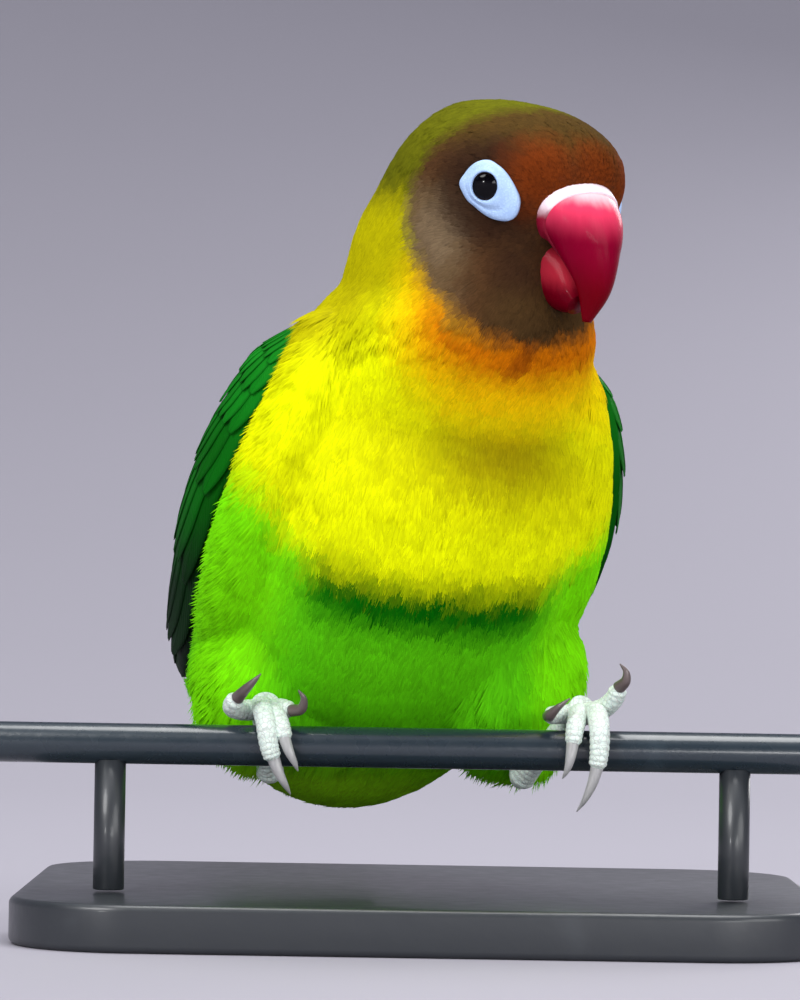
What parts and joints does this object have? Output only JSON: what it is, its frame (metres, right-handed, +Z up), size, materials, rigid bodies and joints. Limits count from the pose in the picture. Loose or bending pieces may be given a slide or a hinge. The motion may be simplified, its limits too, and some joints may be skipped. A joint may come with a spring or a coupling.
{
  "type": "eye-ring lovebird model on a perch rail",
  "caption": "Life-size perched small parrot with a stout hooked bill, white eye rings, folded wings and a short tail, gripping a rail that a low flat stand carries.",
  "frame": {"origin": "centre of the stand's underside", "axes": "+Z up, -Y out of the breast side, +X towards the bird's left, along the rail"},
  "size_m": [0.114, 0.1125, 0.1082],
  "materials": {
    "body_feathers": "soft matt grass-green contour feathers",
    "breast_feathers": "soft matt yellow and orange contour feathers",
    "head_feathers": "short matt brown feathers, olive and yellow behind",
    "wing_feathers": "sleek dark green feathers with blackish tips",
    "tail_feathers": "sleek green feathers",
    "cere": "bare white skin",
    "bill": "smooth waxy red horn",
    "eye": "wet dark brown",
    "eye_ring": "bare bluish white skin",
    "foot_skin": "pale grey scaly skin",
    "claw": "satin dark horn",
    "perch_coating": "glossy slate-grey coated wire",
    "stand_paint": "satin charcoal paint"
  },
  "bodies": {
    "root": {"torso": "body_feathers", "neck": "breast_feathers", "head": "head_feathers", "cere": "cere", "bill_upper": "bill", "bill_lower": "bill", "eye_right": "eye", "eye_left": "eye", "eye_ring_right": "eye_ring", "eye_ring_left": "eye_ring", "thigh_right": "body_feathers", "thigh_left": "body_feathers", "wing_right": "wing_feathers", "wing_left": "wing_feathers", "tail": "tail_feathers", "foot_right": "foot_skin", "foot_left": "foot_skin", "claw_right_1": "claw", "claw_right_2": "claw", "claw_right_3": "claw", "claw_right_4": "claw", "claw_left_1": "claw", "claw_left_2": "claw", "claw_left_3": "claw", "claw_left_4": "claw", "perch_rail": "perch_coating", "stand_base": "stand_paint", "stand_rod_right": "stand_paint", "stand_rod_left": "stand_paint"}
  },
  "joints": []
}
